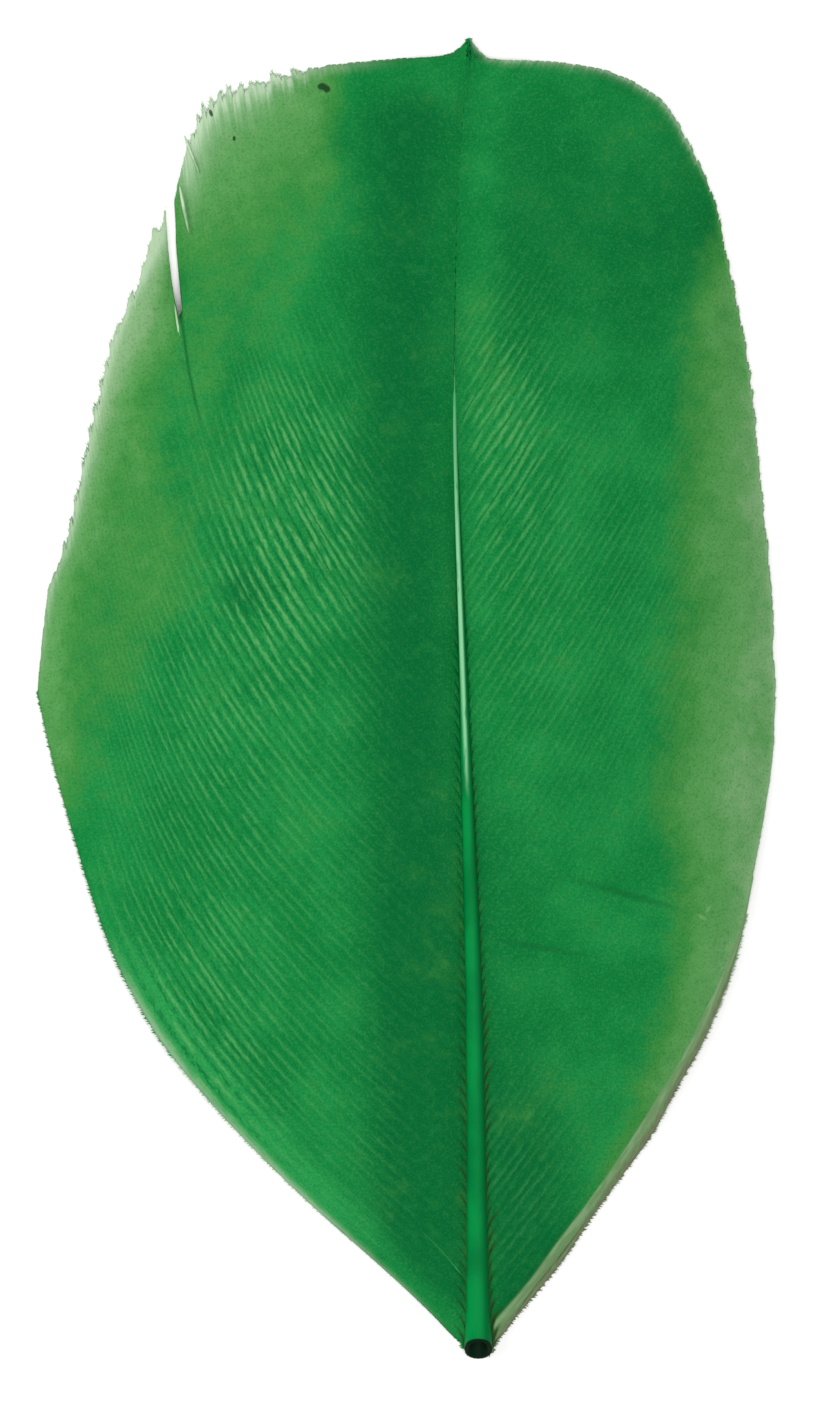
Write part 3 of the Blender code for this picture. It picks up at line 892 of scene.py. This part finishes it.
def build_fringe(side, seed):
    """All free hairs of one vane as one mesh of spikes."""
    hairs = hairs_of(side, seed)
    starts, ends, width = hairs[:, 0:3], hairs[:, 3:6], hairs[:, 6:7]
    way = (ends - starts) / np.linalg.norm(ends - starts, axis=1, keepdims=True)
    beside = np.column_stack([way[:, 1], -way[:, 0], np.zeros(len(way))])
    top = starts + np.array([0.0, 0.0, 0.6]) * width
    points = np.stack([starts + 0.5 * width * beside, starts - 0.5 * width * beside, top, ends], axis=1)
    faces = 4 * np.arange(len(hairs))[:, None, None] + np.array(SPIKE_FACES)[None]
    made = joined(side + "_fringe", points.reshape(-1, 3), faces.reshape(-1, 3).tolist())
    for name, value in (("rim_shadow", hairs[:, 7]), ("dyed", hairs[:, 8])):
        keep(made.data, name, np.repeat(value, 4))
    face_outward(made)
    return finish_piece(made, side + "_fringe")


fringes = {side: build_fringe(side, seed) for side, seed in (("left", 5), ("right", 6))}

# %% [markdown]
# ## Loose barbs
#
# A few barbs have come unhooked and lie folded over the vane: two pale streaks at the upper left
# edge, one along the end of the slit, and a green one near the quill on the left. Each is a thin
# ribbon that tapers to a point, laid on the vane along a few points read off the photograph.

# %% Ribbons over the vane
# three points of a curve, the width, how far it is lifted, and how dyed it is
LOOSE_BARBS = (
    (((-11.8, 29.9), (-11.5, 29.1), (-11.0, 27.9)), 0.15, 0.0, 0.0),
    (((-12.05, 27.2), (-11.85, 26.2), (-11.55, 24.7)), 0.20, 0.0, 0.0),
    (((-12.28, 20.9), (-12.08, 19.4), (-11.72, 17.9)), 0.14, 0.0, 0.0),
    (((0.80, -28.1), (1.80, -29.0), (2.90, -30.4)), 0.14, 0.20, 0.95),
)
RIBBON_STEPS = 14
RIBBON_EDGE, RIBBON_TOP, RIBBON_KEEL = -0.02, 0.03, -0.09


def build_loose_barbs():
    points, faces, dyes = [], [], []
    for spots, width, lift, dyed in LOOSE_BARBS:
        t = np.linspace(0.0, 1.0, RIBBON_STEPS)[:, None]
        a, b, c = (np.array(spot) for spot in spots)
        line = (1 - t) ** 2 * a + 2 * t * (1 - t) * b + t * t * c
        way = np.gradient(line, axis=0)
        way /= np.linalg.norm(way, axis=1, keepdims=True)
        half = 0.5 * width * np.sin(np.pi * (0.05 + 0.92 * t)) ** 0.6
        beside = np.column_stack([way[:, 1], -way[:, 0]]) * half
        z = vane_z("left", line[:, 0], line[:, 1]) + lift
        dyes += [dyed] * 4 * RIBBON_STEPS
        base = len(points)
        for i in range(RIBBON_STEPS):
            left, right = line[i] + beside[i], line[i] - beside[i]
            points += [(*left, z[i] + RIBBON_EDGE), (*line[i], z[i] + RIBBON_TOP)]
            points += [(*right, z[i] + RIBBON_EDGE), (*line[i], z[i] + RIBBON_KEEL)]
        for i in range(RIBBON_STEPS - 1):
            here, there = base + 4 * i, base + 4 * i + 4
            for k in range(4):
                faces.append((here + k, here + (k + 1) % 4, there + (k + 1) % 4, there + k))
        last = base + 4 * (RIBBON_STEPS - 1)
        faces += [(base, base + 1, base + 2, base + 3), (last + 3, last + 2, last + 1, last)]
    made = joined("loose_barbs", points, faces)
    keep(made.data, "dyed", dyes)
    face_outward(made)
    bpy.ops.object.shade_smooth()
    return finish_piece(made, "loose_barbs")


loose_barbs = build_loose_barbs()

# %% [markdown]
# ## Dyed vane
#
# Barbs are keratin, a protein like fingernail with an IOR of about 1.55. Acid dye soaks in
# unevenly, so the green is mottled at a few millimetres and finely speckled. The surface is matte,
# because barbules trap most of its gloss. The streaks are noise on the vane's own map, one unit
# across for each barb and millimetres along it: painted highlights on the crests that break off and
# start again, and painted shade in the gaps. Each coat below is a colour and the places where it
# lies, painted in turn over the ones before.

# %% Paint in coats
KERATIN_IOR = 1.55


def add(tree, kind, settings=None, links=None, output=0):
    """Adds one node and gives the output that is asked for. Links take sockets or plain values."""
    node = tree.nodes.new(kind)
    for name, value in (settings or {}).items():
        setattr(node, name, value)
    for name, source in (links or {}).items():
        if isinstance(source, bpy.types.NodeSocket):
            tree.links.new(source, node.inputs[name])
        else:
            node.inputs[name].default_value = source
    return node.outputs[output]


def paint(tree, under, coats):
    """Lays coats over a colour. A coat is a colour, a strength and the eased steps that mask it."""
    for colour, strength, *steps in coats:
        mask = strength
        for value, low, high in steps:
            ends = {"Value": value, "From Min": min(low, high), "From Max": max(low, high),
                    "To Min": float(low > high), "To Max": float(low < high)}
            eased = add(tree, "ShaderNodeMapRange", {"interpolation_type": "SMOOTHSTEP"}, ends)
            mask = add(tree, "ShaderNodeMath", {"operation": "MULTIPLY"}, {0: mask, 1: eased})
        under = add(tree, "ShaderNodeMix", {"data_type": "RGBA"}, {0: mask, 6: under, 7: linear(colour)}, 2)
    return under


def noises(tree, table):
    """Named noise patterns: where each is laid, features per unit in each direction, its detail."""
    made = {}
    for name, source, density, detail in table:
        laid = add(tree, "ShaderNodeMapping", {}, {"Vector": source, "Scale": density})
        made[name] = add(tree, "ShaderNodeTexNoise", {}, {"Vector": laid, "Scale": 1.0, "Detail": detail})
    return made


def keratin(name, level):
    """A new keratin material. The white room would veil the dye, so its mirror part is kept low."""
    material = bpy.data.materials.new(name)
    material.use_nodes = True
    surface = material.node_tree.nodes["Principled BSDF"]
    surface.inputs["IOR"].default_value = KERATIN_IOR
    surface.inputs["Specular IOR Level"].default_value = level
    return material, material.node_tree, surface

print("helpers for coats of dye are ready")

# %% Marks on the vane
# creases are painted shade along folds in the vane; specks and scuffs are the feather's own marks
MARKS = {
    "crease_shade": ((11.4, -10.2, 4.6, 0.32, -16.0), (6.9, -13.0, 3.3, 0.28, -10.0)),
    "speck": (
        (-4.5, 32.45, 0.30, 0.24, 10.0), (-4.25, 32.3, 0.24, 0.26, 40.0), (-10.4, 31.1, 0.12, 0.26, 20.0),
        (-9.15, 29.7, 0.11, 0.17, 0.0),
    ),
    "scuff": ((15.6, -11.5, 0.5, 0.14, -30.0), (15.9, -11.1, 0.4, 0.12, 55.0)),
}


def marks(tree, place, kind):
    """A soft oval for each mark: centre x and y, half length, half width and turn."""
    total = 0.0
    for x, y, length, width, turn in MARKS[kind]:
        laid = add(tree, "ShaderNodeMapping", {"vector_type": "TEXTURE"}, {
            "Vector": place, "Location": (x * MM, y * MM, 0.0), "Rotation": (0.0, 0.0, math.radians(turn)),
            "Scale": (length * MM, width * MM, 1.0)})
        oval = add(tree, "ShaderNodeTexGradient", {"gradient_type": "SPHERICAL"}, {"Vector": laid}, 1)
        total = add(tree, "ShaderNodeMath", {"operation": "ADD"}, {0: total, 1: oval})
    return total


print({kind: len(rows) for kind, rows in MARKS.items()})

# %% Material of the vanes
# real barbules stand about 0.03 mm apart, too fine to show, so they are drawn this coarse
BARBULE_DRAWN_MM = 0.17
# how far a crest's line strays sideways, in barbs
CREST_WOBBLE = 0.40


def dyed_vane():
    material, tree, surface = keratin("acid-dyed feather barbs", 0.02)
    place = add(tree, "ShaderNodeTexCoord", output="Object")
    barb_map = add(tree, "ShaderNodeUVMap")
    kept = {name: add(tree, "ShaderNodeAttribute", {"attribute_name": name}, output="Fac")
            for name in ("pale", "deep_dye_and_shade", "bright", "foot_shade", "rim", "fade", "rim_shadow", "split", "show")}
    # per metre on the object: clouds of 4 mm, blotches of 0.8 mm, and a grain of 0.12 mm, which is
    # coarser than the real one so that it shows; per barb and per millimetre on the barb map
    noise = noises(tree, (
        ("cloud", place, (260.0, 260.0, 260.0), 3.0),
        ("blotch", place, (1300.0, 1300.0, 1300.0), 3.0),
        ("grain", place, (8500.0, 8500.0, 8500.0), 2.0),
        ("streak", barb_map, (2.3, 0.60, 1.0), 2.0),
        ("dash", barb_map, (3.1, 2.2, 1.0), 2.0),
    ))
    across = add(tree, "ShaderNodeSeparateXYZ", {}, {0: barb_map})
    # 0 on a crest and 0.5 in the gaps beside it, along a line that wobbles a little
    wavy = add(tree, "ShaderNodeMath", {"operation": "MULTIPLY_ADD"},
               {0: noise["dash"], 1: CREST_WOBBLE, 2: across})
    wavy = add(tree, "ShaderNodeMath", {"operation": "ADD"}, {0: wavy, 1: 0.5 - 0.5 * CREST_WOBBLE})
    off_crest = add(tree, "ShaderNodeMath", {"operation": "PINGPONG"}, {0: wavy, 1: 0.5})
    uneven = add(tree, "ShaderNodeMath", {"operation": "MULTIPLY_ADD"},
                 {0: noise["blotch"], 1: 0.35, 2: kept["pale"]})
    uneven = add(tree, "ShaderNodeMath", {"operation": "MULTIPLY_ADD"},
                 {0: noise["cloud"], 1: 0.60, 2: uneven})

    green = paint(tree, linear("#097636"), (
        ("#16833f", 1.0, (noise["cloud"], 0.34, 0.66)),
        # deeper dye beside the shaft, with painted shade where the vane slopes away from the light
        ("#005f2d", 0.95, (kept["deep_dye_and_shade"], 0.0, 1.0)),
        ("#25924a", 0.90, (kept["bright"], 0.0, 1.0)),
        ("#0c6c33", 0.15, (noise["blotch"], 0.50, 0.70)),
        ("#2a8b45", 0.15, (noise["blotch"], 0.50, 0.30)),
        ("#39843b", 1.0, (uneven, 0.50, 0.86)),
        ("#549350", 1.0, (uneven, 0.76, 1.10)),
        ("#79a371", 1.0, (uneven, 1.06, 1.48)),
        # painted highlights along the barbs' crests, then painted shade in the gaps between them
        ("#559e5b", 0.92, (off_crest, 0.17, 0.02), (kept["show"], 0.0, 1.0), (noise["streak"], 0.40, 0.58)),
        ("#2f8b45", 0.40, (off_crest, 0.36, 0.12), (kept["show"], -0.2, 0.9), (noise["dash"], 0.40, 0.62)),
        ("#06602e", 0.80, (off_crest, 0.22, 0.40), (kept["show"], 0.0, 1.0), (noise["dash"], 0.64, 0.42)),
        ("#0b5f2d", 0.30, (noise["grain"], 0.50, 0.68)),
        ("#5fa75c", 0.11, (noise["grain"], 0.50, 0.32), (kept["deep_dye_and_shade"], 1.6, 0.4)),
        ("#bed4b8", 0.85, (kept["fade"], 0.0, 1.0), (noise["streak"], 0.0, 0.60)),
        ("#6f9463", 0.92, (kept["rim"], 0.0, 0.6)),
        ("#a9c29e", 0.24, (kept["rim"], 0.1, 0.6), (noise["streak"], 0.46, 0.62), (kept["rim_shadow"], 0.5, 0.0)),
        # grey-brown painted shadow along the outer side of the rolled rim
        ("#6c7057", 0.85, (kept["rim_shadow"], 0.0, 0.7), (noise["dash"], 0.80, 0.40)),
        # painted shade at the barbs' feet and beside the shaft
        ("#24421a", 0.90, (kept["foot_shade"], 0.05, 0.75)),
        # painted shade in the groove before the slit and along its edge
        ("#0d5a2a", 0.70, (kept["split"], 0.2, 1.0)),
        # painted shade along the creases
        ("#0c5c2b", 0.50, (marks(tree, place, "crease_shade"), 0.0, 0.9)),
        ("#17381c", 0.90, (marks(tree, place, "speck"), 0.0, 0.45)),
        ("#78a86f", 0.55, (marks(tree, place, "scuff"), 0.0, 1.0)),
    ))
    tree.links.new(green, surface.inputs["Base Color"])
    rough = add(tree, "ShaderNodeMapRange", {}, {"Value": noise["grain"], "To Min": 0.50, "To Max": 0.68})
    tree.links.new(rough, surface.inputs["Roughness"])

    along = add(tree, "ShaderNodeSeparateXYZ", {}, {0: barb_map}, 1)
    slant = add(tree, "ShaderNodeMath", {"operation": "MULTIPLY_ADD"}, {0: off_crest, 1: 0.5, 2: along})
    turns = add(tree, "ShaderNodeMath", {"operation": "MULTIPLY"},
                {0: slant, 1: 2.0 * math.pi / BARBULE_DRAWN_MM})
    wave = add(tree, "ShaderNodeMath", {"operation": "SINE"}, {0: turns})
    height = add(tree, "ShaderNodeMath", {"operation": "MULTIPLY_ADD"},
                 {0: wave, 1: 0.15, 2: noise["grain"]})
    bump = add(tree, "ShaderNodeBump", {}, {"Height": height, "Strength": 0.5, "Distance": 0.00005})
    tree.links.new(bump, surface.inputs["Normal"])
    return material


vane_finish = dyed_vane()
print(vane_finish.name, "has", len(vane_finish.node_tree.nodes), "nodes")

# %% [markdown]
# ## Dyed shaft
#
# The shaft is solid keratin with a smooth skin, so the dye lies cleaner and brighter on it and it
# has a satin gloss. Towards the tip a pale painted highlight runs along its crown, a glossy line
# that starts in a point about halfway up, and painted shade darkens its sides. The hollow of the
# quill and its cut face are painted nearly black, as shade.

# %% Material of the shaft
def dyed_shaft():
    material, tree, surface = keratin("acid-dyed keratin shaft", 0.02)
    place = add(tree, "ShaderNodeTexCoord", output="Object")
    kept = {name: add(tree, "ShaderNodeAttribute", {"attribute_name": name}, output="Fac")
            for name in ("crown_highlight", "shade", "cut")}
    # fibres 0.25 mm wide and 2 mm long, and clouds of 2 to 3 mm
    noise = noises(tree, (
        ("fibre", place, (4000.0, 500.0, 4000.0), 3.0),
        ("cloud", place, (500.0, 300.0, 500.0), 2.0),
    ))
    green = paint(tree, linear("#007035"), (
        ("#02823e", 1.0, (noise["cloud"], 0.35, 0.65)),
        ("#00642b", 0.25, (noise["fibre"], 0.50, 0.75)),
        ("#04622f", 0.85, (kept["shade"], 0.0, 1.0)),
        # painted highlight: a pale glossy line along the crown
        ("#84c796", 0.95, (kept["crown_highlight"], 0.0, 1.0), (noise["fibre"], 0.25, 0.45)),
        # painted shade in the quill's hollow and on its cut face
        ("#0a2112", 1.0, (kept["cut"], 0.0, 0.8)),
    ))
    tree.links.new(green, surface.inputs["Base Color"])
    surface.inputs["Roughness"].default_value = 0.40
    bump = add(tree, "ShaderNodeBump", {}, {"Height": noise["fibre"], "Strength": 0.3, "Distance": 0.00002})
    tree.links.new(bump, surface.inputs["Normal"])
    return material


shaft_finish = dyed_shaft()
print(shaft_finish.name, "has", len(shaft_finish.node_tree.nodes), "nodes")

# %% [markdown]
# ## Hairs and loose barbs
#
# Barbule ends are clear keratin with hardly any dye, so against the white ground they look grey
# green. Along the lower right edge they are painted browner grey, as the painted shadow of the
# rolled rim, and at the top and low on the left, where the vane's edge is well dyed, they are green.

# %% Material of the fringe
def barbule_ends():
    material, tree, surface = keratin("undyed barbule ends", 0.2)
    place = add(tree, "ShaderNodeTexCoord", output="Object")
    rim_shadow, dyed = (add(tree, "ShaderNodeAttribute", {"attribute_name": name}, output="Fac")
                  for name in ("rim_shadow", "dyed"))
    noise = noises(tree, (("cloud", place, (900.0, 900.0, 900.0), 2.0),))
    colour = paint(tree, linear("#b2cfac"), (
        ("#82b07d", 1.0, (noise["cloud"], 0.38, 0.62)),
        ("#2f8d47", 1.0, (dyed, 0.0, 1.0)),
        # grey-brown painted shadow on the hairs of the lower right rim
        ("#6f7157", 0.90, (rim_shadow, 0.0, 0.8)),
    ))
    tree.links.new(colour, surface.inputs["Base Color"])
    surface.inputs["Roughness"].default_value = 0.6
    return material


hair_finish = barbule_ends()
print(hair_finish.name, "has", len(hair_finish.node_tree.nodes), "nodes")

# %% [markdown]
# ## Put it together
#
# Each piece gets its material, rides on the one body that the feather is, and stands in for the
# plain solid.

# %% Dress, ride and finish
dressed = [(vanes[side], vane_finish, "vane") for side in vanes]
dressed += [(fringes[side], hair_finish, "vane") for side in fringes]
dressed += [(loose_barbs, hair_finish, "vane"), (shaft, shaft_finish, "shaft")]
for piece, finish, slot in dressed:
    piece.data.materials.clear()
    piece.data.materials.append(finish)
    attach(piece, "root")
    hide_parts("feather")
print("dressed:", [piece.name for piece, finish, slot in dressed])
